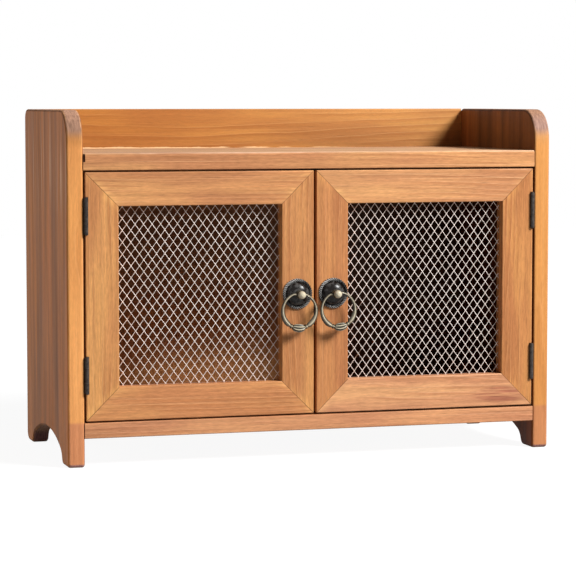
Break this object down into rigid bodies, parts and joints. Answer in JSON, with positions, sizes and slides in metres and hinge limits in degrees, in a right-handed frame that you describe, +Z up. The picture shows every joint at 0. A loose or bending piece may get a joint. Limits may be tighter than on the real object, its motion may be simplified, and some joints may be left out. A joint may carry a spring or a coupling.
{
  "type": "desktop cabinet with doors",
  "caption": "Small wooden tabletop cabinet: open tray on top between raised sides, mitred doors with diamond mesh, ring pulls and butt hinges, arched feet.",
  "frame": {"origin": "middle of the footprint on the floor, pulls included", "axes": "+X across, to the right of someone facing the doors; +Y from the doors to the back; +Z up"},
  "size_m": [0.4, 0.189, 0.277],
  "materials": {
    "stained_pine": "satin, caramel stain, open straight grain",
    "beech": "raw, fluted stock",
    "mesh_steel": "bright expanded metal",
    "black_steel": "satin black",
    "antique_brass": "aged, brushed highlights",
    "dark_bronze": "oil-rubbed bronze",
    "bright_steel": "zinc plated",
    "brown_plastic": "moulded",
    "magnet": "ferrite, dull"
  },
  "bodies": {
    "carcass": {"left_side_panel": "stained_pine", "right_side_panel": "stained_pine", "top_shelf": "stained_pine", "bottom_board": "stained_pine", "back_panel": "stained_pine", "shelf_dowels": "beech", "bottom_dowels": "beech", "back_panel_nails": "bright_steel", "catch_housing": "brown_plastic", "catch_magnets": "magnet", "catch_screws": "bright_steel", "left_upper_carcass_leaf": "black_steel", "left_upper_hinge_pin": "black_steel", "left_lower_carcass_leaf": "black_steel", "left_lower_hinge_pin": "black_steel", "left_carcass_hinge_screws": "black_steel", "right_upper_carcass_leaf": "black_steel", "right_upper_hinge_pin": "black_steel", "right_lower_carcass_leaf": "black_steel", "right_lower_hinge_pin": "black_steel", "right_carcass_hinge_screws": "black_steel"},
    "left_door": {"left_top_rail": "stained_pine", "left_bottom_rail": "stained_pine", "left_hinge_stile": "stained_pine", "left_lock_stile": "stained_pine", "left_mitre_nails": "bright_steel", "left_mesh_panel": "mesh_steel", "left_mesh_beads": "stained_pine", "left_bead_pins": "bright_steel", "left_strike_plate": "bright_steel", "left_strike_screws": "bright_steel", "left_pull_rose": "dark_bronze", "left_pull_post": "antique_brass", "left_pull_screw": "bright_steel", "left_upper_door_leaf": "black_steel", "left_lower_door_leaf": "black_steel", "left_door_hinge_screws": "black_steel"},
    "right_door": {"right_top_rail": "stained_pine", "right_bottom_rail": "stained_pine", "right_hinge_stile": "stained_pine", "right_lock_stile": "stained_pine", "right_mitre_nails": "bright_steel", "right_mesh_panel": "mesh_steel", "right_mesh_beads": "stained_pine", "right_bead_pins": "bright_steel", "right_strike_plate": "bright_steel", "right_strike_screws": "bright_steel", "right_pull_rose": "dark_bronze", "right_pull_post": "antique_brass", "right_pull_screw": "bright_steel", "right_upper_door_leaf": "black_steel", "right_lower_door_leaf": "black_steel", "right_door_hinge_screws": "black_steel"},
    "left_ring": {"left_pull_ring": "antique_brass"},
    "right_ring": {"right_pull_ring": "antique_brass"}
  },
  "joints": [
    {"name": "left_door_hinge", "type": "hinge", "parent": "carcass", "child": "left_door", "pos_m": [-0.1849, -0.07938, 0.132], "axis": [0, 0, -1], "range_deg": [0, 180]},
    {"name": "left_ring_pivot", "type": "hinge", "parent": "left_door", "child": "left_ring", "pos_m": [-0.0149, -0.08688, 0.1315], "axis": [-1, 0, 0], "range_deg": [-10, 180]},
    {"name": "right_door_hinge", "type": "hinge", "parent": "carcass", "child": "right_door", "pos_m": [0.1849, -0.07938, 0.132], "axis": [0, 0, 1], "range_deg": [0, 180]},
    {"name": "right_ring_pivot", "type": "hinge", "parent": "right_door", "child": "right_ring", "pos_m": [0.0149, -0.08688, 0.1315], "axis": [-1, 0, 0], "range_deg": [-10, 180]}
  ]
}
